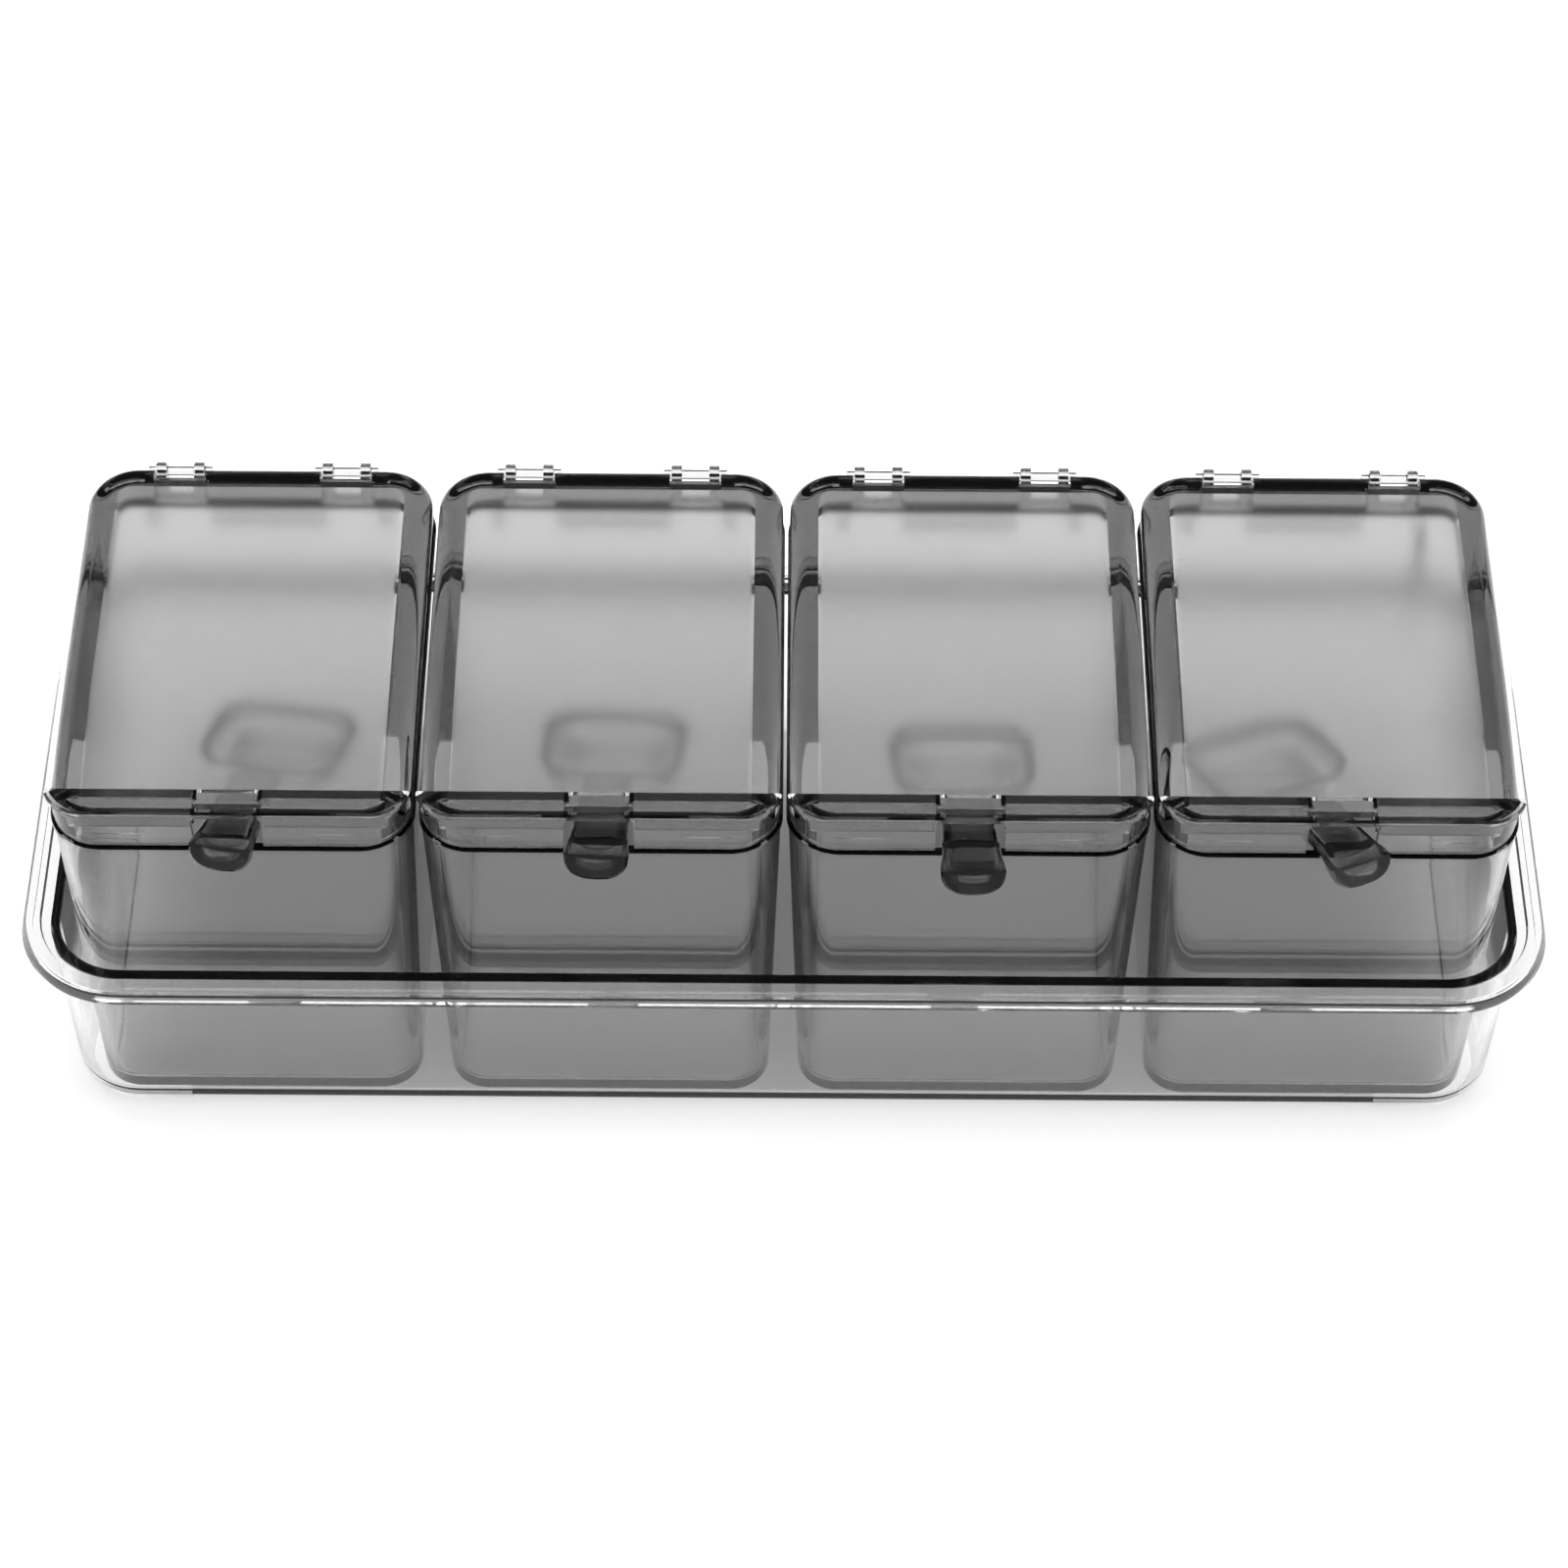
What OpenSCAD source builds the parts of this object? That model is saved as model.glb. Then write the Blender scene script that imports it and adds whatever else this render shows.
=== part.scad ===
// Condiment caddy: a clear serving tray that carries four tapered boxes side by side.
// Each box has a flip lid on a snap-in hinge and a small spoon that leaves through a notch.
// X runs along the tray, -Y is the front, Z is up. The origin is under the middle of the whole caddy,
// spoons included, on the plane that the four feet stand on. Millimetres.

/* [Tray] */
// Length of the tray over its rim
tray_l = 350; // [330:1:430]
// Depth of the tray over its rim
tray_d = 135; // [132:1:170]
// Height of the tray from the feet to the top of the rim
tray_h = 52.6; // [36:0.1:64]
// Distance of the tray's middle behind the origin, which allows for the spoons in front
tray_y = 3.6; // [0:0.1:8]
// Corner radius of the rim, seen from above
tray_corner_r = 24; // [20:1:30]
// Wall and floor thickness of the tray
tray_wall = 2.2; // [1.6:0.1:3]
// Draft of the tray's walls, in degrees
tray_draft = 1.7; // [0.8:0.1:2.4]
// Width of the rim, from its outer edge to the inside of the wall
rim_w = 8.9; // [7.6:0.1:11]
// Depth of the rim's turned-down edge
rim_skirt = 3.6; // [2.6:0.1:6]
// How far the rim's inner band lies below its outer edge
rim_step = 0.8; // [0.4:0.1:1.4]
// Height of the corner feet
foot_h = 2.5; // [1.5:0.1:4]
// Length of each leg of an L-shaped foot
foot_l = 27; // [18:1:36]
// Width of a foot's ridge
foot_w = 3.6; // [2.4:0.1:6]

/* [Boxes] */
// Space between the rims of neighbouring boxes
box_gap = 0.7; // [0.4:0.1:2]
// Space between an outer box and the tray's short wall, at the tray's rim
end_gap = 4.9; // [0.6:0.1:6]
// Space between a box and the tray's long walls, front and rear together, at the tray's rim
depth_gap = 11.1; // [1.4:0.1:14]
// Height of a box
box_h = 90.8; // [70:0.1:112]
// Corner radius of a box at its bottom
box_corner_r = 9; // [7:0.5:13]
// Wall thickness of a box
box_wall = 2; // [1.5:0.1:2.6]
// Draft of a box's walls, in degrees
box_draft = 1.9; // [1:0.1:2.4]
// Height of the bead round a box's rim
bead_h = 1.6; // [1:0.1:2.5]
// How far the bead stands out from the wall
bead_out = 0.4; // [0.2:0.1:0.5]
// Radius of a box's bottom edge
box_edge_r = 1.8; // [1:0.1:2.4]
// Space between the front of a box and the tray's wall
box_front_gap = 0.6; // [0.4:0.1:1]

/* [Lids] */
// Height of a lid's flat roof over the box's rim
roof_h = 9.8; // [8.6:0.1:13]
// Thickness of a lid's shell
lid_wall = 2; // [1.6:0.1:2.4]
// How far a lid's sides stand in from the rim of its box
lid_in = 0.2; // [0.1:0.1:1]
// How much a lid's sides lean in towards the rim
lid_lean = 0.5; // [0.1:0.1:1.2]
// Outer corner radius of a lid, seen from above
lid_corner_r = 11.5; // [9:0.5:14]
// Radius of a lid's rounded upper edge
lid_edge_r = 4.4; // [3:0.1:5.5]
// Radius of the arch at the front of the roof
arch_r = 250; // [200:5:500]
// Length of the arched part of the roof
arch_l = 45; // [30:1:60]
// Height of the lifting lip over the box's rim
lip_h = 12.6; // [11.2:0.1:14]
// Depth of the lip, front to back
lip_d = 7; // [5:0.1:10]
// How far the lip stands out in front of the skirt
lip_out = 0.6; // [0:0.1:2]
// How far the lip's points stand out past the sides of the lid
lip_side = 0.2; // [0:0.1:0.4]
// Corner radius of the lip
lip_corner_r = 9; // [8:0.5:12]
// Space between the spoon's knob and each side of the notch that it passes through
notch_gap = 0.5; // [0.4:0.1:3]
// Length of a snap rib inside the front skirt
snap_l = 12; // [6:0.5:16]
// Distance of a snap rib from the middle of the lid
snap_x = 25.5; // [18:0.5:28]

/* [Hinges] */
// Radius of the lid's hinge rods
rod_r = 1.1; // [0.9:0.05:1.3]
// Radial clearance of a rod in its hook
rod_clear = 0.05; // [0.02:0.01:0.1]
// Wall of the hook round the rod
hook_wall = 0.9; // [0.7:0.1:1.2]
// Width of a hook
hook_w = 2.4; // [1.8:0.1:3.2]
// Space between a hook and the front of its window
window_gap = 1.95; // [0.4:0.05:3]
// Width of a window
window_w = 11.8; // [9:0.1:14]
// Distance of a window from the side of the lid
window_side = 14.9; // [13.5:0.1:16]
// Height of the stiffening lands behind the rear wall
land_h = 10; // [6:0.5:14]
// How far a land stands out from the rear wall
land_out = 0.9; // [0.5:0.1:1.4]

/* [Spoons] */
// Slope of the spoons, down towards the back, in degrees
spoon_tilt = 22; // [16:1:24]
// Width of the handle in the notch
handle_w = 11.6; // [9:0.1:12]
// Thickness of the handle
handle_t = 3.4; // [2.4:0.1:3.8]
// Width of the handle's knob
knob_w = 14.4; // [12:0.1:14.8]
// Thickness of the handle's knob
knob_t = 6.6; // [4:0.1:8]
// Length of the handle, from the knob's face to the bowl
handle_l = 36; // [32:1:50]
// Width of the bowl
bowl_w = 32; // [24:0.5:33]
// Length of the bowl
bowl_l = 33; // [24:0.5:36]
// Depth of the bowl
bowl_depth = 9.5; // [6:0.5:11]
// Wall thickness of the bowl
bowl_wall = 1.6; // [1.2:0.1:2.2]

/* [Hidden] */
$fn = 64;
count = 4;
clear_color = [0.86, 0.88, 0.9, 0.4];
smoke_color = [0.3, 0.3, 0.31, 0.6];
// How far each spoon is turned in its notch, and how far it is pushed in past the third one
spoon_turn = [-9, -2.5, 1, 20];
spoon_push = [8.5, 6, 0, 4.5];
// Small working values
over = 1;
seat_gap = 0.2;
lid_gap = 0.3;
hinge_gap = 0.3;
arc_steps = 7;
tray_slope = tan(tray_draft);
box_slope = tan(box_draft);
// Tray
floor_z = foot_h + tray_wall;
pan_half_x = tray_l / 2 - rim_w;
pan_half_y = tray_d / 2 - rim_w;
ring_z = tray_h - rim_step;
rim_under_z = ring_z - tray_wall + 0.2;
tray_edge_r = 3;
step_in = 4.4;
rim_slant = 0.8;
// Boxes
box_z = floor_z + seat_gap;
rim_z = box_z + box_h;
box_taper = box_h * box_slope;
rim_lean = (rim_z - ring_z) * box_slope;
box_w = tenth((2 * pan_half_x - (count - 1) * box_gap - 2 * end_gap + 2 * rim_lean) / count);
box_d = tenth(2 * pan_half_y - depth_gap + 2 * rim_lean);
box_pitch = box_w + box_gap;
box_front_y = -pan_half_y + (ring_z - floor_z) * tray_slope + box_front_gap;
box_y = tray_y + box_front_y + (box_d - 2 * box_taper) / 2;
// Lids, with heights over the plane of the box's rim
lid_half_x = box_w / 2 - lid_in;
lid_half_y = box_d / 2 - lid_in;
lip_under = lip_h - lid_wall + 0.2;
notch_w = knob_w + 2 * notch_gap;
crease_y = fine(-lid_half_y - lip_out + lip_d);
arch_y = fine(crease_y + arch_l);
arch_angle = asin(arch_l / arch_r) + 3;
rod_y = lid_half_y - rod_r + 0.1;
rod_h = roof_h - lid_wall + 0.1;
hook_r = rod_r + rod_clear + hook_wall;
window_d = lid_half_y - rod_y + hook_r + window_gap;
tongue_w = 2 * (lid_half_x - window_side - window_w);
// Spoons
notch_y = -box_d / 2 + box_wall / 2;
handle_h = handle_t / cos(spoon_tilt) + box_wall / 2 * tan(spoon_tilt) + 0.5;

function arc(x, z, r, from, to) =
    [for (i = [0 : arc_steps])
        let (a = from + (to - from) * i / arc_steps)
            [x + r * cos(a), z + r * sin(a)]];

// Rounding to whole microns, so that faces that should meet do
function fine(v) = round(v * 1000) / 1000;

// Rounding to a tenth of a millimetre, for the sizes that a mould is cut to
function tenth(v) = round(v * 10) / 10;

// A solid whose plan is a rounded rectangle and whose side follows [outward offset, height] points
module rounded_block(half_a, half_b, corner_r, points) {
    half_x = fine(half_a);
    half_y = fine(half_b);
    side = [for (p = points) [fine(p[0]), fine(p[1])]];
    low = side[0][1];
    high = side[len(side) - 1][1];
    wedge = concat([[0, low]], [for (p = side) [corner_r + p[0], p[1]]], [[0, high]]);
    for (turn = [0 : 3]) {
        sx = (turn == 0 || turn == 3) ? 1 : -1;
        sy = (turn < 2) ? 1 : -1;
        translate([sx * (half_x - corner_r), sy * (half_y - corner_r), 0])
            rotate([0, 0, turn * 90])
                rotate_extrude(angle = 90) polygon(wedge);
    }
    rotate([90, 0, 0])
        linear_extrude(2 * (half_y - corner_r), center = true)
            two_sided(half_x, side);
    rotate([90, 0, 90])
        linear_extrude(2 * (half_x - corner_r), center = true)
            two_sided(half_y, side);
}

// The upright section of such a block: the side points, mirrored about the middle
module two_sided(half, side) {
    right = [for (p = side) [half + p[0], p[1]]];
    left = [for (i = [len(side) - 1 : -1 : 0]) [-half - side[i][0], side[i][1]]];
    polygon(concat(right, left));
}

// Tray: drafted pan, stepped rim with a turned-down edge, and four L-shaped feet
module tray() {
    wall_top = -rim_w + tray_wall;
    wall_low = wall_top - (ring_z - foot_h) * tray_slope;
    floor_in = -rim_w - (ring_z - floor_z) * tray_slope;
    edge_in = tray_wall + rim_slant / 2;
    outside = concat(
        arc(wall_low - tray_edge_r, foot_h + tray_edge_r, tray_edge_r, -90, 0),
        [
            [wall_top, rim_under_z],
            [-edge_in, rim_under_z],
            [-edge_in, tray_h - rim_skirt],
            [-0.5, tray_h - rim_skirt],
            [0, tray_h - rim_skirt + 0.6],
            [-rim_slant, tray_h - 0.4],
            [-rim_slant - 0.5, tray_h],
            [-step_in, tray_h],
            [-step_in - 0.4, ring_z],
            [-rim_w, ring_z]
        ]
    );
    lip_round = 1.2;
    inside = concat(
        arc(floor_in - 2, floor_z + 2, 2, -90, 0),
        arc(-rim_w + lip_round, ring_z - lip_round, lip_round, 180, 90),
        [[-rim_w + lip_round, tray_h + over]]
    );
    color(clear_color)
        translate([0, tray_y, 0]) {
            difference() {
                rounded_block(tray_l / 2, tray_d / 2, tray_corner_r, outside);
                rounded_block(tray_l / 2, tray_d / 2, tray_corner_r, inside);
            }
            feet(wall_low - tray_edge_r + 0.6);
        }
}

// Four feet: the corners of a ridge that follows the tray's outline
module feet(reach) {
    intersection() {
        difference() {
            rounded_block(tray_l / 2, tray_d / 2, tray_corner_r, [[reach, 0], [reach, foot_h + 0.4]]);
            rounded_block(tray_l / 2, tray_d / 2, tray_corner_r, [[reach - foot_w, -over], [reach - foot_w, foot_h + over]]);
        }
        for (sx = [-1, 1], sy = [-1, 1])
            translate([sx * (tray_l / 2 - rim_w - foot_l / 2), sy * (tray_d / 2 - rim_w - foot_l / 2), foot_h / 2])
                cube([foot_l, foot_l, foot_h + 2 * over], center = true);
    }
}

// Box, in its own frame: the origin is the middle of its bottom
module box_body() {
    foot_x = box_w / 2 - box_taper;
    foot_y = box_d / 2 - box_taper;
    inner_r = box_corner_r - box_wall;
    inner_edge_r = 3;
    outside = concat(
        arc(-box_edge_r, box_edge_r, box_edge_r, -90, 0),
        [
            [(box_h - bead_h) * box_slope - bead_out, box_h - bead_h - bead_out],
            [box_taper, box_h - bead_h],
            [box_taper, box_h - 0.4],
            [box_taper - 0.4, box_h]
        ]
    );
    inside = concat(
        arc(-inner_edge_r, box_wall + inner_edge_r, inner_edge_r, -90, 0),
        [[(box_h + over) * box_slope, box_h + over]]
    );
    difference() {
        rounded_block(foot_x, foot_y, box_corner_r, outside);
        rounded_block(foot_x - box_wall, foot_y - box_wall, inner_r, inside);
    }
    lands();
    for (side = [-1, 1])
        hooks(side);
}

// Stiffening lands behind the rear wall, under the tongues of the lid
module lands() {
    side_w = box_w / 2 - box_corner_r - box_taper - tongue_w / 2 - window_w;
    for (place = [[0, tongue_w], [tongue_w / 2 + window_w + side_w / 2, side_w], [-tongue_w / 2 - window_w - side_w / 2, side_w]])
        translate([place[0] - place[1] / 2, box_d / 2 - bead_h - box_wall / 2, box_h - land_h])
            cube([place[1], bead_h + box_wall / 2 + land_out - bead_out, land_h - 0.6]);
}

// Two hooks in one window: posts on the rear rim that hold the lid's rod
module hooks(side) {
    first = tongue_w / 2 + hinge_gap;
    last = tongue_w / 2 + window_w - hinge_gap - hook_w;
    post_front = rod_y - hook_r;
    for (x = [first, last])
        translate([side * (x + hook_w / 2), 0, box_h])
            rotate([90, 0, 90])
                linear_extrude(hook_w, center = true)
                    difference() {
                        union() {
                            translate([post_front, -bead_h]) square([box_d / 2 - post_front, bead_h + 2]);
                            translate([post_front, 0]) square([2 * hook_r - 0.6, rod_h]);
                            translate([rod_y, rod_h]) circle(hook_r);
                        }
                        translate([rod_y, rod_h]) circle(rod_r + rod_clear);
                        translate([rod_y, rod_h]) rotate(25) translate([0, -0.8 * rod_r]) square([2 * hook_r, 1.6 * rod_r]);
                    }
}

// The side of the lid with a rounded upper edge, grown inwards by a shell thickness
function lid_side(shell, low) = concat(
    [[-shell, low]],
    arc(-lid_edge_r, roof_h - lid_edge_r, lid_edge_r - shell, 0, 90)
);

// The arched front of the roof, as a solid turned about the arch's own axis
module arch(half, shell, low) {
    side = [for (p = lid_side(shell, low)) [fine(p[0]), fine(p[1])]];
    turn_r = arch_r - roof_h;
    right = [for (p = side) [turn_r + p[1], half + p[0]]];
    left = [for (i = [len(side) - 1 : -1 : 0]) [turn_r + side[i][1], -half - side[i][0]]];
    translate([0, arch_y, roof_h - arch_r])
        rotate([180, -90, 0])
            rotate_extrude(angle = arch_angle, $fn = 360)
                polygon(concat(right, left));
}

// Everything behind or in front of a plane across the lid
module half_space(from, to) {
    translate([-lid_half_x - over, from, -3 * box_wall])
        cube([2 * (lid_half_x + over), to - from, lip_h + 6 * box_wall]);
}

// The lid's outer form, or the hollow inside it when a shell thickness is given
module lid_form(shell) {
    low = shell > 0 ? -over : lid_gap;
    deep = -2 * lid_edge_r;
    top = shell > 0 ? lip_h - lid_wall : lip_h - 0.2;
    plan = [
        [-shell - lid_lean * (1 - low / lip_under), low],
        [-shell, top]
    ];
    intersection() {
        rounded_block(lid_half_x, lid_half_y, lid_corner_r, plan);
        union() {
            intersection() {
                rounded_block(lid_half_x, lid_half_y, lid_corner_r, lid_side(shell, deep));
                half_space(arch_y, lid_half_y + over);
            }
            intersection() {
                arch(lid_half_x, shell, deep);
                half_space(crease_y - lid_wall, arch_y);
            }
            half_space(-lid_half_y - over, crease_y - shell);
        }
    }
}

// Lid, in a frame whose origin is the middle of the box's rim
module lid_body() {
    difference() {
        union() {
            difference() {
                lid_form(0);
                lid_form(lid_wall);
            }
            lip();
            snap_ribs();
        }
        windows();
        notch();
        dimple();
    }
    rods();
}

// The lifting lip: a flat brim with rounded front corners that run out to points at the crease
module lip() {
    low = lip_h - lid_wall;
    intersection() {
        rounded_block(
            lid_half_x + lip_side,
            lid_half_y + lip_out,
            lip_corner_r,
            [[-0.4, low], [0, low + 0.4], [0, lip_h - 0.5], [-0.5, lip_h]]
        );
        half_space(-lid_half_y - lip_out - over, crease_y);
    }
}

// Snap ribs inside the front skirt
module snap_ribs() {
    rib_h = 1.8;
    rib_out = 0.5;
    for (side = [-1, 1])
        translate([side * snap_x - snap_l / 2, -lid_half_y + lid_wall - 0.6, 1.6])
            cube([snap_l, 0.6 + rib_out, rib_h]);
}

// Windows at the rear, where the hooks of the box reach the rods
module windows() {
    for (side = [-1, 1])
        translate([side * (tongue_w + window_w) / 2 - window_w / 2, lid_half_y - window_d, -over])
            cube([window_w, window_d + over, roof_h + 2 * over]);
}

// Hinge rods across the windows, each let into the tongues at both ends
module rods() {
    for (side = [-1, 1])
        translate([side * (tongue_w + window_w) / 2, rod_y, rod_h])
            rotate([0, 90, 0])
                cylinder(h = window_w + 3, r = rod_r, center = true);
}

// Notch in the front skirt for the spoon's handle, with rounded upper corners
module notch() {
    corner = 2.2;
    top = lip_h - lid_wall;
    translate([0, -lid_half_y - over, 0])
        rotate([90, 0, 180])
            mirror([1, 0, 0])
                linear_extrude(lip_d + 2 * over + lid_wall - lip_out - 2.2)
                    notch_outline(top, corner);
}

// The notch's outline, seen from the front
module notch_outline(top, corner) {
    translate([-notch_w / 2, -over]) square([notch_w, top - corner + over]);
    translate([-notch_w / 2 + corner, 0]) square([notch_w - 2 * corner, top]);
    for (side = [-1, 1])
        translate([side * (notch_w / 2 - corner), top - corner]) circle(corner);
}

// Moulding dimple in the rear face of the middle tongue
module dimple() {
    dimple_r = 16;
    translate([0, lid_half_y + dimple_r - 0.5, roof_h - 4])
        cylinder(h = 5, r = dimple_r);
}

// Half-round section: flat on top, rounded underneath
module half_round(w, t) {
    steps = 10;
    polygon(concat(
        [[w / 2 - 0.4, 0], [-w / 2 + 0.4, 0]],
        [for (i = [0 : steps])
            let (a = 180 + 180 * i / steps)
                [w / 2 * sign(cos(a)) * pow(abs(cos(a)), 0.75), -0.4 - (t - 0.4) * pow(abs(sin(a)), 0.85)]]
    ));
}

// One thin slice of the handle, at a distance along it
module handle_slice(along, w, t) {
    translate([0, along, 0])
        rotate([90, 0, 0])
            linear_extrude(0.05) half_round(w, t);
}

// Spoon, in its own frame: the handle's top runs along Y at height 0, with the knob's face at 0
module spoon_body() {
    neck = 9;
    knob = 4;
    hull() {
        handle_slice(0.05, knob_w - 1, knob_t - 0.8);
        handle_slice(0.9, knob_w, knob_t);
        handle_slice(knob, knob_w - 0.4, knob_t - 0.9);
        handle_slice(knob + 2.6, knob_w - 1.2, handle_t);
    }
    hull() {
        handle_slice(knob + 2.6, knob_w - 1.2, handle_t);
        handle_slice(knob + neck, handle_w, handle_t);
        handle_slice(handle_l + bowl_wall, handle_w - 1.6, handle_t - 1);
    }
    translate([0, handle_l + bowl_l / 2, 0])
        difference() {
            bowl_form(0);
            bowl_form(bowl_wall);
        }
}

// The bowl's outer form, or its hollow: a rounded square that narrows downwards
module bowl_form(shell) {
    corner = 9;
    waist = 0.62;
    tuck = 0.86;
    lift = shell > 0 ? 0.6 : 0;
    hull() {
        bowl_slice(1, corner, shell, lift - 0.05);
        bowl_slice(tuck, corner, shell, (shell - bowl_depth) * 0.62);
        bowl_slice(waist, corner, shell, shell - bowl_depth);
    }
}

// One thin slice of the bowl
module bowl_slice(share, corner, shell, z) {
    w = bowl_w * share - 2 * shell;
    l = bowl_l * share - 2 * shell;
    r = corner * share - shell;
    translate([0, 0, z])
        linear_extrude(0.05)
            for (sx = [-1, 1], sy = [-1, 1])
                translate([sx * (w / 2 - r), sy * (l / 2 - r)]) circle(r, $fn = 28);
}

// Place of a box, from 0 at the left to 3 at the right
function box_x(i) = (i - (count - 1) / 2) * box_pitch;

module box_at(i) {
    color(smoke_color)
        translate([box_x(i), box_y, box_z])
            box_body();
}

module lid_at(i) {
    color(smoke_color)
        translate([box_x(i), box_y, rim_z])
            lid_body();
}

module spoon_at(i) {
    reach = 15;
    color(smoke_color)
        translate([box_x(i), box_y + notch_y, rim_z + handle_h])
            rotate([0, 0, spoon_turn[i]])
                rotate([-spoon_tilt, 0, 0])
                    translate([0, spoon_push[i] - reach, 0])
                        spoon_body();
}

module box_1() { box_at(0); }
module box_2() { box_at(1); }
module box_3() { box_at(2); }
module box_4() { box_at(3); }
module lid_1() { lid_at(0); }
module lid_2() { lid_at(1); }
module lid_3() { lid_at(2); }
module lid_4() { lid_at(3); }
module spoon_1() { spoon_at(0); }
module spoon_2() { spoon_at(1); }
module spoon_3() { spoon_at(2); }
module spoon_4() { spoon_at(3); }

tray();
box_1();
box_2();
box_3();
box_4();
lid_1();
lid_2();
lid_3();
lid_4();
spoon_1();
spoon_2();
spoon_3();
spoon_4();
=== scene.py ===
import math

import bmesh
import bpy
from mathutils import Matrix, Vector

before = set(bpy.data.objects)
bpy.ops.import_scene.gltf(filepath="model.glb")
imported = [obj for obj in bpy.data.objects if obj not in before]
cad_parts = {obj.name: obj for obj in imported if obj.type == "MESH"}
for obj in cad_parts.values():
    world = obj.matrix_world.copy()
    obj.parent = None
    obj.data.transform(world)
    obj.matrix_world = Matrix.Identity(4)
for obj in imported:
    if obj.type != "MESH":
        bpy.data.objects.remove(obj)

MM = 0.001
scene = bpy.context.scene
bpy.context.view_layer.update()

# Camera: fitted to the photograph's rims, lids and feet, for a square frame
FOCAL_PX = 4691.0
FRAME_PX = 1600.0
CAMERA_Y = -0.6969
CAMERA_Z = 0.8775
CAMERA_DOWN_DEG = 49.67
CAMERA_ROLL_DEG = 0.4
AXIS_PX = (801.0, 790.0)

# The lids' solid frame, in millimetres: its width along the sides and at the front, its inner corner
# radius, its height over the rim, and how far it lies inside the lid's outer face
FRAME_W = 6.8
FRONT_W = 1.6
FRAME_R = 3.2
FRAME_LOW = 0.6
FRAME_SINK = 1.0

# Where the frame starts to narrow, the depth of its windows, and how its upper face lies under the roof
NARROW_Y = 30.0
WINDOW_D = 4.0
TOP_DROP = 2.8
TOP_RISE = 1.8
SIDE_STEPS = 12
CORNER_STEPS = 7

# The tray's pan at its rim, and the width of the dark band of painted reflection beside it, at the middle
# of the short sides and along the long sides, which starts to change at the first depth and ends at the
# second
TRAY_MID_Y = 3.6
PAN_HALF = (166.1, 58.6)
PAN_R = 15.1
RING_Z = 51.8
# Painted reflection: the near-black band stands in for the dark internal reflection along the tray's rim
REFLECTION_BAND_W = (1.6, 3.3)
REFLECTION_BAND_TURN_Y = (46.0, 57.0)
REFLECTION_BAND_SHARE = 0.93
REFLECTION_BAND_TONE = (0.006, 0.006, 0.006, 1.0)
REFLECTION_BAND_ROUGH = 0.12

# The painted shade of the spoon's handle, and the frosting of the lid's panel
HANDLE_END_Y = -42.0
HANDLE_FADE = 12.0
HANDLE_SHADE = 0.42
PANEL_FROST = 0.2

# The floor: its own white, the share of it that is left under the caddy as a painted shadow, the outline
# of that place, and the distances in metres over which the white fades, under the caddy's edge and far
# from it
FLOOR_REACH = 7.0
FLOOR_GLOW = 0.6
PAINTED_SHADOW_SHARE = 0.25
PAINTED_SHADOW_HALF = (0.16, 0.06)
PAINTED_SHADOW_R = 0.02
PAINTED_SHADOW_FADE = (-0.03, 0.03)
FAR_FADE = (0.25, 0.7)

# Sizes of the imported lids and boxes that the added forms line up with, in millimetres
PITCH = 81.5
LID_MID_Y = -1.514
RIM_Z = 95.7
LID_HALF = (40.2, 54.3)
LID_R = 11.5
ROOF_H = 9.8
ARCH_Y = -2.9
ARCH_R = 250.0
WINDOW = (13.38, 25.42)

# Looks of the two plastics: the share of light that goes through 2 mm of wall, the refraction, the
# roughness, the depth in metres of the slow waves of moulding, and the roughness that wipe marks add
SMOKE_PASS = 0.74
CLEAR_PASS = 0.965
SMOKE_IOR = 1.5
CLEAR_IOR = 1.49
SMOKE_ROUGH = 0.02
CLEAR_ROUGH = 0.015
SMOKE_WAVE = 0.00015
CLEAR_WAVE = 0.00012
HAZE = 0.06
BLACK = (0.0, 0.0, 0.0, 1.0)
WHITE = (1.0, 1.0, 1.0, 1.0)

# Edges that turn by more than this stay sharp, and points nearer than this are one, in metres
SHARP_DEG = 28
WELD = 0.000001


def socket(node, name, value):
    """Sets a number or a colour on a node's own socket."""
    node.inputs[name].default_value = value


def surface_of(nt):
    """The plastic's main shader."""
    return next(n for n in nt.nodes if n.type == "BSDF_PRINCIPLED")


def math_node(nt, operation, *values):
    """A Math node whose inputs are numbers or the outputs of other nodes."""
    node = nt.nodes.new("ShaderNodeMath")
    node.operation = operation
    for i, value in enumerate(values):
        if isinstance(value, (int, float)):
            node.inputs[i].default_value = value
        else:
            nt.links.new(value, node.inputs[i])
    return node.outputs[0]


def ramp(nt, value, low, high, to_low=0.0, to_high=1.0):
    """A smooth step of a value from one level to another."""
    node = nt.nodes.new("ShaderNodeMapRange")
    node.interpolation_type = "SMOOTHSTEP"
    for key, number in (("From Min", low), ("From Max", high), ("To Min", to_low), ("To Max", to_high)):
        socket(node, key, number)
    nt.links.new(value, node.inputs["Value"])
    return node.outputs["Result"]


def position(nt):
    """The three coordinates of a point in the part's own frame, in metres."""
    place = nt.nodes.new("ShaderNodeTexCoord")
    split = nt.nodes.new("ShaderNodeSeparateXYZ")
    nt.links.new(place.outputs["Object"], split.inputs[0])
    return split.outputs


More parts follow.
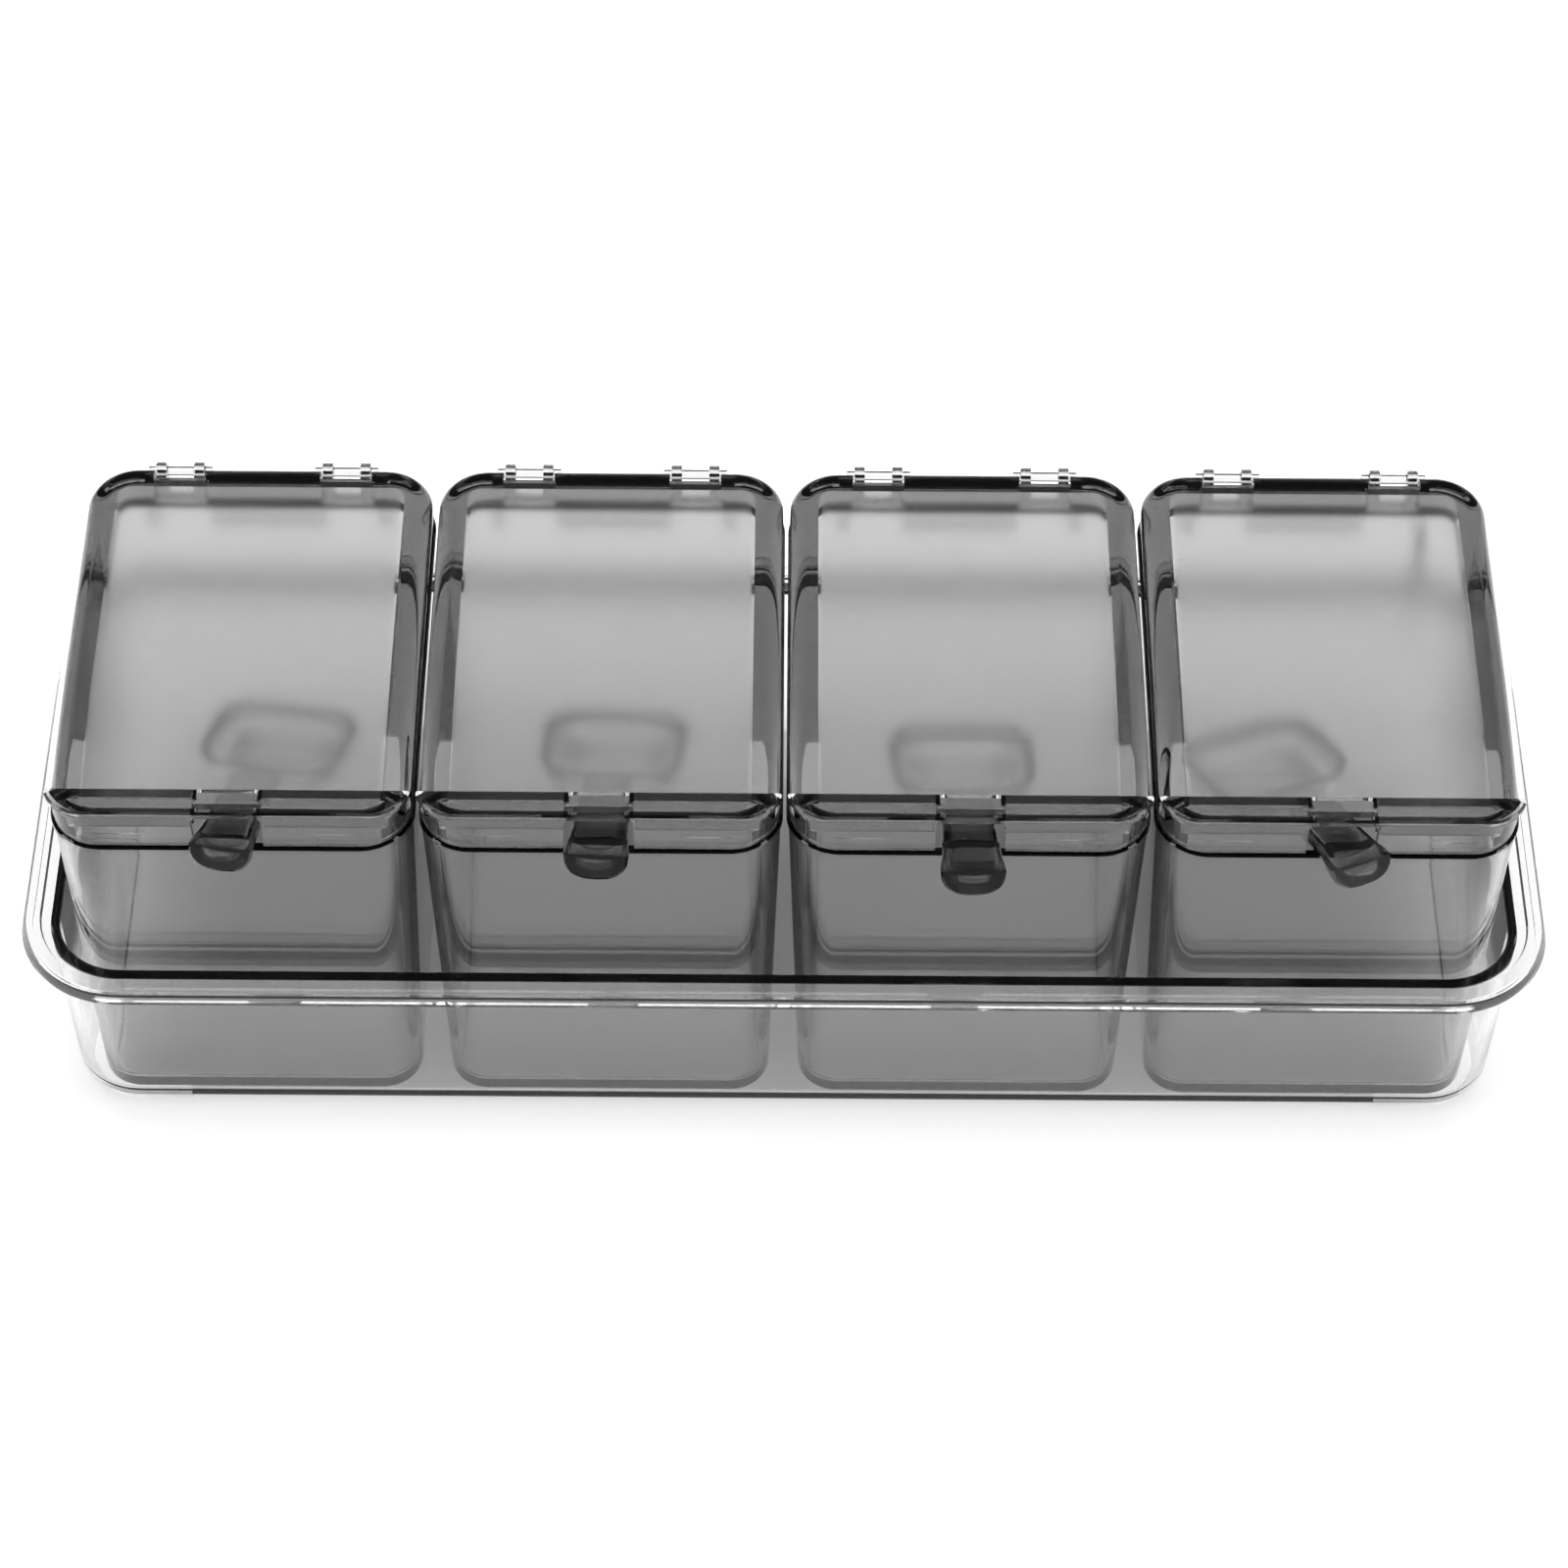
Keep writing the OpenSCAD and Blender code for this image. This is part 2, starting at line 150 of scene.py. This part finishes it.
def rounded_distance(nt, x, y, half_x, half_y, radius):
    """Distance outside a rounded rectangle, negative inside it, with everything in metres."""
    qx = math_node(nt, "SUBTRACT", math_node(nt, "ABSOLUTE", x), half_x - radius)
    qy = math_node(nt, "SUBTRACT", math_node(nt, "ABSOLUTE", y), half_y - radius)
    px, py = math_node(nt, "MAXIMUM", qx, 0.0), math_node(nt, "MAXIMUM", qy, 0.0)
    square = math_node(nt, "ADD", math_node(nt, "MULTIPLY", px, px), math_node(nt, "MULTIPLY", py, py))
    inside = math_node(nt, "MINIMUM", math_node(nt, "MAXIMUM", qx, qy), 0.0)
    return math_node(nt, "SUBTRACT", math_node(nt, "ADD", math_node(nt, "SQRT", square), inside), radius)


def frost_panel(mat):
    """Frosts the lid's panel inside its frame faintly, so that what lies below it looks soft."""
    nt = mat.node_tree
    x, y, z = position(nt)
    half_pitch = PITCH * MM / 2
    across = math_node(nt, "WRAP", math_node(nt, "ADD", x, half_pitch), half_pitch, -half_pitch)
    along = math_node(nt, "SUBTRACT", y, LID_MID_Y * MM)
    half_x, half_y = ((half - FRAME_W) * MM for half in LID_HALF)
    edge = rounded_distance(nt, across, along, half_x, half_y, FRAME_R * MM)
    panel = math_node(nt, "MULTIPLY", ramp(nt, edge, -0.0012, 0.0, 1.0, 0.0),
                      ramp(nt, z, (RIM_Z + 2.5) * MM, (RIM_Z + 3.5) * MM))
    rough = surface_of(nt).inputs["Roughness"]
    frost = math_node(nt, "MULTIPLY", panel, PANEL_FROST)
    nt.links.new(math_node(nt, "ADD", rough.links[0].from_socket, frost), rough)


def painted_handle_shade(mat):
    """Paints the spoon's thick handle and knob darker than its thin bowl, as painted shade."""
    nt = mat.node_tree
    y = position(nt)[1]
    # Painted shade: the base colour darkens from the bowl towards the handle's end
    share = ramp(nt, y, HANDLE_END_Y * MM, (HANDLE_END_Y + HANDLE_FADE) * MM, HANDLE_SHADE, 1.0)
    shade_tone = nt.nodes.new("ShaderNodeCombineColor")
    for channel in ("Red", "Green", "Blue"):
        nt.links.new(share, shade_tone.inputs[channel])
    nt.links.new(shade_tone.outputs[0], surface_of(nt).inputs["Base Color"])


def painted_reflection_band(mat):
    """Paints the black line seen over the top of the tray's walls: a painted reflection, in place of the
    dark internal reflection of the clear walls.
    """
    nt = mat.node_tree
    x, y, z = position(nt)
    along = math_node(nt, "SUBTRACT", y, TRAY_MID_Y * MM)
    away = rounded_distance(nt, x, along, PAN_HALF[0] * MM, PAN_HALF[1] * MM, PAN_R * MM)
    turn_low, turn_high = REFLECTION_BAND_TURN_Y
    wide = ramp(nt, math_node(nt, "ABSOLUTE", along), turn_low * MM, turn_high * MM,
                REFLECTION_BAND_W[0] * MM, REFLECTION_BAND_W[1] * MM)
    over = math_node(nt, "SUBTRACT", away, wide)
    band = math_node(nt, "MULTIPLY", ramp(nt, over, -0.0003, 0.0002, 1.0, 0.0),
                     ramp(nt, away, -0.0004, 0.0001))
    band = math_node(nt, "MULTIPLY", band, ramp(nt, z, (RING_Z - 1.0) * MM, (RING_Z - 0.7) * MM))
    bsdf = surface_of(nt)
    # Painted reflection: a near-black glossy shader mixed in over the band
    black = nt.nodes.new("ShaderNodeBsdfPrincipled")
    socket(black, "Base Color", REFLECTION_BAND_TONE)
    socket(black, "Roughness", REFLECTION_BAND_ROUGH)
    mix = nt.nodes.new("ShaderNodeMixShader")
    out = next(n for n in nt.nodes if n.type == "OUTPUT_MATERIAL")
    nt.links.new(math_node(nt, "MULTIPLY", band, REFLECTION_BAND_SHARE), mix.inputs[0])
    nt.links.new(bsdf.outputs[0], mix.inputs[1])
    nt.links.new(black.outputs[0], mix.inputs[2])
    nt.links.new(mix.outputs[0], out.inputs["Surface"])


def plastic(name, passes, ior, rough, wave):
    """Clear or tinted moulded plastic: light is absorbed through its thickness, and its surface has
    the slow waves of moulding, fine wipe marks and a little dust haze."""
    mat = bpy.data.materials.new(name)
    mat.use_nodes = True
    nt = mat.node_tree
    nt.nodes.clear()
    out = nt.nodes.new("ShaderNodeOutputMaterial")
    bsdf = nt.nodes.new("ShaderNodeBsdfPrincipled")
    socket(bsdf, "Base Color", WHITE)
    socket(bsdf, "Transmission Weight", 1.0)
    socket(bsdf, "IOR", ior)
    nt.links.new(bsdf.outputs["BSDF"], out.inputs["Surface"])
    vol = nt.nodes.new("ShaderNodeVolumeAbsorption")
    socket(vol, "Color", BLACK)
    socket(vol, "Density", -math.log(passes) / (2 * MM))
    nt.links.new(vol.outputs["Volume"], out.inputs["Volume"])
    place = nt.nodes.new("ShaderNodeTexCoord")
    waves = nt.nodes.new("ShaderNodeTexNoise")
    socket(waves, "Scale", 34.0)
    socket(waves, "Detail", 1.0)
    nt.links.new(place.outputs["Object"], waves.inputs["Vector"])
    grain = nt.nodes.new("ShaderNodeTexNoise")
    socket(grain, "Scale", 900.0)
    socket(grain, "Detail", 2.0)
    nt.links.new(place.outputs["Object"], grain.inputs["Vector"])
    stretch = nt.nodes.new("ShaderNodeMapping")
    socket(stretch, "Scale", (40.0, 900.0, 900.0))
    socket(stretch, "Rotation", (0.0, 0.0, 0.5))
    nt.links.new(place.outputs["Object"], stretch.inputs["Vector"])
    wipes = nt.nodes.new("ShaderNodeTexNoise")
    socket(wipes, "Scale", 1.0)
    socket(wipes, "Detail", 3.0)
    nt.links.new(stretch.outputs["Vector"], wipes.inputs["Vector"])
    haze = nt.nodes.new("ShaderNodeMapRange")
    socket(haze, "From Min", 0.45)
    socket(haze, "From Max", 0.8)
    socket(haze, "To Min", rough)
    socket(haze, "To Max", rough + HAZE)
    nt.links.new(wipes.outputs["Fac"], haze.inputs["Value"])
    nt.links.new(haze.outputs["Result"], bsdf.inputs["Roughness"])
    slow = nt.nodes.new("ShaderNodeBump")
    socket(slow, "Strength", 1.0)
    socket(slow, "Distance", wave)
    nt.links.new(waves.outputs["Fac"], slow.inputs["Height"])
    fine = nt.nodes.new("ShaderNodeBump")
    socket(fine, "Strength", 0.12)
    socket(fine, "Distance", 0.00002)
    nt.links.new(grain.outputs["Fac"], fine.inputs["Height"])
    nt.links.new(slow.outputs["Normal"], fine.inputs["Normal"])
    nt.links.new(fine.outputs["Normal"], bsdf.inputs["Normal"])
    return mat


def round_side(half_x, half_y, radius, sx):
    """Points down one side of a rounded rectangle, from the front corner to the rear corner."""
    points = []
    for sy in (-1, 1):
        cx, cy = sx * (half_x - radius), sy * (half_y - radius)
        for i in range(CORNER_STEPS + 1):
            a = math.radians(90 * i / CORNER_STEPS)
            across, length = (math.sin(a), math.cos(a)) if sy < 0 else (math.cos(a), math.sin(a))
            points.append((cx + sx * radius * across, cy + sy * radius * length))
        if sy < 0:
            run = half_y - radius - cy
            points += [(sx * half_x, cy + run * i / SIDE_STEPS) for i in range(1, SIDE_STEPS)]
    return points


def frame_top(y, inset):
    """Height of the frame's upper face inside the lid's shell, at a depth and a distance from the edge."""
    drop = ARCH_R - math.sqrt(ARCH_R ** 2 - min(y - ARCH_Y, 0.0) ** 2)
    return ROOF_H - drop - TOP_DROP + TOP_RISE * (inset - FRAME_SINK) / (FRAME_W - FRAME_SINK)


def lid_frame(n):
    """The broad solid frame along the sides and rear of a lid, open where the hinge windows are."""
    half_x, half_y = LID_HALF
    rows = []
    for sx in (-1, 1):
        outer = round_side(half_x - FRAME_SINK, half_y - FRAME_SINK, LID_R - FRAME_SINK, sx)
        inner = round_side(half_x - FRAME_W, half_y - FRAME_W, FRAME_R, sx)
        front = half_y - FRAME_W - FRAME_R
        narrow = [min(1.0, max(0.0, (-y - NARROW_Y) / (front - NARROW_Y))) for x, y in inner]
        inner = [(x, y - (FRAME_W - FRONT_W) * share) for (x, y), share in zip(inner, narrow)]
        half = list(zip(outer, inner))
        edge, back = half_y - FRAME_SINK, half_y - WINDOW_D
        for x, y in ((WINDOW[1], edge), (WINDOW[1], back), (WINDOW[0], back), (WINDOW[0], edge)):
            half.append(((sx * x, y), (sx * x, half_y - FRAME_W)))
        rows += half if sx < 0 else half[::-1]
    mid_x = (n - 1.5) * PITCH
    verts = []
    for (ox, oy), (ix, iy) in rows:
        inset = max(FRAME_SINK, half_y - oy) if abs(ox) < WINDOW[1] + 1 and oy > 0 else FRAME_SINK
        for x, y, z in ((ox, oy, FRAME_LOW), (ox, oy, frame_top(oy, inset)),
                        (ix, iy, frame_top(iy, FRAME_W)), (ix, iy, FRAME_LOW)):
            verts.append(((x + mid_x) * MM, (y + LID_MID_Y) * MM, (z + RIM_Z) * MM))
    faces = []
    for i in range(len(rows) - 1):
        for k in range(4):
            a, b = 4 * i + k, 4 * i + (k + 1) % 4
            faces.append((a, b, b + 4, a + 4))
    faces.append((3, 2, 1, 0))
    faces.append(tuple(4 * (len(rows) - 1) + k for k in range(4)))
    mesh = bpy.data.meshes.new("lid_frame_%d" % (n + 1))
    mesh.from_pydata(verts, [], faces)
    work = bmesh.new()
    work.from_mesh(mesh)
    bmesh.ops.remove_doubles(work, verts=work.verts, dist=WELD)
    bmesh.ops.triangulate(work, faces=list(work.faces))
    bmesh.ops.recalc_face_normals(work, faces=work.faces)
    work.to_mesh(mesh)
    work.free()
    obj = bpy.data.objects.new(mesh.name, mesh)
    scene.collection.objects.link(obj)
    obj.hide_render = True
    obj.hide_viewport = True
    return obj


def smooth_group(name, added=None):
    """Welds a CAD mesh for shading only, joins an added solid to it where there is one, and smooths
    it except across real edges."""
    group = bpy.data.node_groups.new(name, "GeometryNodeTree")
    group.interface.new_socket("Geometry", in_out="INPUT", socket_type="NodeSocketGeometry")
    group.interface.new_socket("Geometry", in_out="OUTPUT", socket_type="NodeSocketGeometry")
    first = group.nodes.new("NodeGroupInput")
    last = group.nodes.new("NodeGroupOutput")
    drop = group.nodes.new("GeometryNodeRemoveAttribute")
    drop.inputs["Name"].default_value = "custom_normal"
    weld = group.nodes.new("GeometryNodeMergeByDistance")
    weld.inputs["Distance"].default_value = WELD
    faces = group.nodes.new("GeometryNodeSetShadeSmooth")
    faces.domain = "FACE"
    faces.inputs["Shade Smooth"].default_value = True
    edges = group.nodes.new("GeometryNodeSetShadeSmooth")
    edges.domain = "EDGE"
    edges.inputs["Shade Smooth"].default_value = False
    angle = group.nodes.new("GeometryNodeInputMeshEdgeAngle")
    sharp = group.nodes.new("FunctionNodeCompare")
    sharp.data_type = "FLOAT"
    sharp.operation = "GREATER_THAN"
    sharp.inputs[1].default_value = math.radians(SHARP_DEG)
    links = group.links
    links.new(first.outputs[0], drop.inputs[0])
    links.new(drop.outputs[0], weld.inputs[0])
    solid = weld
    if added:
        info = group.nodes.new("GeometryNodeObjectInfo")
        info.transform_space = "ORIGINAL"
        info.inputs["Object"].default_value = added
        solid = group.nodes.new("GeometryNodeMeshBoolean")
        solid.operation = "UNION"
        solid.solver = "EXACT"
        links.new(weld.outputs[0], solid.inputs["Mesh 2"])
        links.new(info.outputs["Geometry"], solid.inputs["Mesh 2"])
    links.new(solid.outputs[0], faces.inputs[0])
    links.new(faces.outputs[0], edges.inputs[0])
    links.new(angle.outputs[0], sharp.inputs[0])
    links.new(sharp.outputs[0], edges.inputs["Selection"])
    links.new(edges.outputs[0], last.inputs[0])
    return group


clear = plastic("clear_plastic", CLEAR_PASS, CLEAR_IOR, CLEAR_ROUGH, CLEAR_WAVE)
smoke, lid_smoke, spoon_smoke = (plastic(name, SMOKE_PASS, SMOKE_IOR, SMOKE_ROUGH, SMOKE_WAVE)
                                 for name in ("smoke_plastic", "lid_plastic", "spoon_plastic"))
frost_panel(lid_smoke)
# Painted shade on the spoon's handle
painted_handle_shade(spoon_smoke)
# Painted reflection: a dark band over the tray's rim
painted_reflection_band(clear)
finish = {"tray": clear, "lid": lid_smoke, "spoon": spoon_smoke, "box": smoke}
plain = smooth_group("smooth_cad")
for name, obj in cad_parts.items():
    obj.data.materials.clear()
    obj.data.materials.append(finish[name.split("_")[0]])
    group = plain
    if name.startswith("lid"):
        group = smooth_group("smooth_" + name, lid_frame(int(name[-1]) - 1))
    obj.modifiers.new("smooth", "NODES").node_group = group


def light_path_white(nt, surface, strength):
    """Adds an even white to the floor for camera rays. Mirrored and refracted rays get it only near
    the caddy, so that edges which look sideways stay dark, and less of it under the caddy at rest, as a
    painted shadow."""
    path = nt.nodes.new("ShaderNodeLightPath")
    bent = math_node(nt, "MAXIMUM", path.outputs["Is Transmission Ray"], path.outputs["Is Glossy Ray"])
    place = position(nt)
    away = rounded_distance(nt, place[0], place[1], *PAINTED_SHADOW_HALF, PAINTED_SHADOW_R)
    # Painted shadow: mirrored and refracted rays get less white under the caddy's outline
    shade = ramp(nt, away, *PAINTED_SHADOW_FADE, PAINTED_SHADOW_SHARE, 1.0)
    local = math_node(nt, "MULTIPLY", shade, ramp(nt, away, *FAR_FADE, 1.0, 0.0))
    near = math_node(nt, "MULTIPLY", bent, local)
    share = math_node(nt, "MAXIMUM", near, path.outputs["Is Camera Ray"])
    glow = nt.nodes.new("ShaderNodeEmission")
    nt.links.new(math_node(nt, "MULTIPLY", share, strength), glow.inputs["Strength"])
    both = nt.nodes.new("ShaderNodeAddShader")
    nt.links.new(surface.outputs[0], both.inputs[0])
    nt.links.new(glow.outputs[0], both.inputs[1])
    return both


def make_floor():
    """A plain white floor with no edge in view, with a painted shadow under the caddy for mirrored and
    refracted rays.
    """
    mesh = bpy.data.meshes.new("floor")
    corners = [(x * FLOOR_REACH, y * FLOOR_REACH, 0) for x, y in ((-1, -1), (1, -1), (1, 1), (-1, 1))]
    mesh.from_pydata(corners, [], [(0, 1, 2, 3)])
    obj = bpy.data.objects.new("floor", mesh)
    scene.collection.objects.link(obj)
    mat = bpy.data.materials.new("floor_white")
    mat.use_nodes = True
    nt = mat.node_tree
    nt.nodes.clear()
    out = nt.nodes.new("ShaderNodeOutputMaterial")
    diffuse = nt.nodes.new("ShaderNodeBsdfDiffuse")
    socket(diffuse, "Color", (0.8, 0.8, 0.8, 1.0))
    both = light_path_white(nt, diffuse, FLOOR_GLOW)
    nt.links.new(both.outputs[0], out.inputs["Surface"])
    mesh.materials.append(mat)


def make_world():
    """A dim even room, which the camera sees as white."""
    world = bpy.data.worlds.new("studio")
    scene.world = world
    world.use_nodes = True
    nt = world.node_tree
    nt.nodes.clear()
    out = nt.nodes.new("ShaderNodeOutputWorld")
    path = nt.nodes.new("ShaderNodeLightPath")
    room = nt.nodes.new("ShaderNodeBackground")
    socket(room, "Color", (0.5, 0.5, 0.5, 1.0))
    socket(room, "Strength", 0.2)
    white = nt.nodes.new("ShaderNodeBackground")
    socket(white, "Color", WHITE)
    socket(white, "Strength", 1.0)
    mix = nt.nodes.new("ShaderNodeMixShader")
    nt.links.new(path.outputs["Is Camera Ray"], mix.inputs[0])
    nt.links.new(room.outputs[0], mix.inputs[1])
    nt.links.new(white.outputs[0], mix.inputs[2])
    nt.links.new(mix.outputs[0], out.inputs["Surface"])


def soft_light(name, place, target, size, watts):
    """A soft rectangular lamp that faces a target."""
    data = bpy.data.lights.new(name, "AREA")
    data.shape = "RECTANGLE"
    data.size, data.size_y = size
    data.energy = watts
    obj = bpy.data.objects.new(name, data)
    scene.collection.objects.link(obj)
    obj.location = place
    obj.rotation_mode = "QUATERNION"
    obj.rotation_quaternion = (Vector(target) - Vector(place)).to_track_quat("-Z", "Y")


def make_camera():
    """The camera at the photograph's viewing angle."""
    data = bpy.data.cameras.new("camera")
    data.sensor_width = 36.0
    data.lens = 36.0 * FOCAL_PX / FRAME_PX
    data.shift_x = (FRAME_PX / 2 - AXIS_PX[0]) / FRAME_PX
    data.shift_y = (AXIS_PX[1] - FRAME_PX / 2) / FRAME_PX
    data.clip_start = 0.01
    obj = bpy.data.objects.new("camera", data)
    scene.collection.objects.link(obj)
    turn = Matrix.Rotation(math.radians(90 - CAMERA_DOWN_DEG), 4, "X")
    roll = Matrix.Rotation(math.radians(CAMERA_ROLL_DEG), 4, "Z")
    obj.matrix_world = Matrix.Translation((0, CAMERA_Y, CAMERA_Z)) @ turn @ roll
    scene.camera = obj


make_floor()
make_world()
soft_light("over", (0.0, 0.15, 1.3), (0, 0, 0), (1.3, 0.9), 16)
soft_light("left", (-1.3, -0.4, 0.7), (0, 0, 0.05), (0.5, 0.9), 5)
soft_light("right", (1.3, -0.4, 0.7), (0, 0, 0.05), (0.5, 0.9), 5)
make_camera()
scene.view_settings.view_transform = "Standard"
